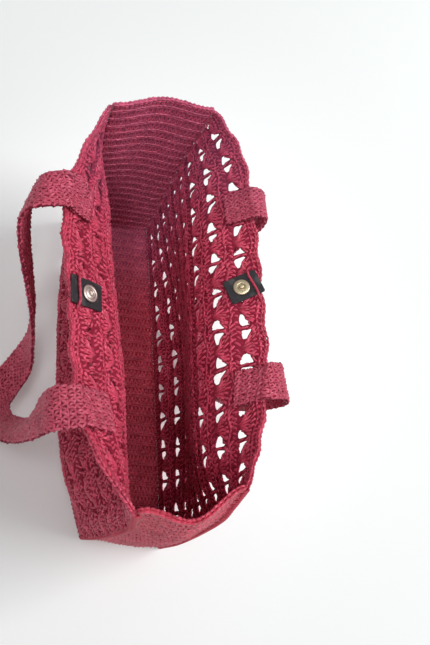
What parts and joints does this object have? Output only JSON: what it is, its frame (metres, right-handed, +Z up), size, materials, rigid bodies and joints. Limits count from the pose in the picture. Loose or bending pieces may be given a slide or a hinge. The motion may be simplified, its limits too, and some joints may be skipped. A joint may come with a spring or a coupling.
{
  "type": "crochet tote bag",
  "caption": "Standing open crochet tote: solid strip for base and ends, openwork fan-lace walls with scalloped rims, flat hanging straps, leather-like tabs with a magnetic snap.",
  "frame": {"origin": "middle of the underside of the base, on the surface that the bag stands on", "axes": "Z up; Y along the length of the bag; X across it, towards the wall with the snap's stud"},
  "size_m": [0.2785, 0.4319, 0.2433],
  "materials": {
    "plain_crochet": "firm single crochet in shiny raspberry yarn, rows across the strip",
    "lace_crochet": "fan-stitch lace in the same yarn with open gaps beside each bar",
    "strap_crochet": "close single crochet in the same yarn, rows across the strap",
    "tab_leather": "smooth black leather-like sheet, slightly glossy",
    "snap_brass": "pale polished brass"
  },
  "bodies": {
    "root": {"strip": "plain_crochet", "wall_right": "lace_crochet", "wall_left": "lace_crochet", "handle_right": "strap_crochet", "handle_left": "strap_crochet", "tab_right": "tab_leather", "tab_left": "tab_leather", "snap_right": "snap_brass", "snap_left": "snap_brass"}
  },
  "joints": []
}
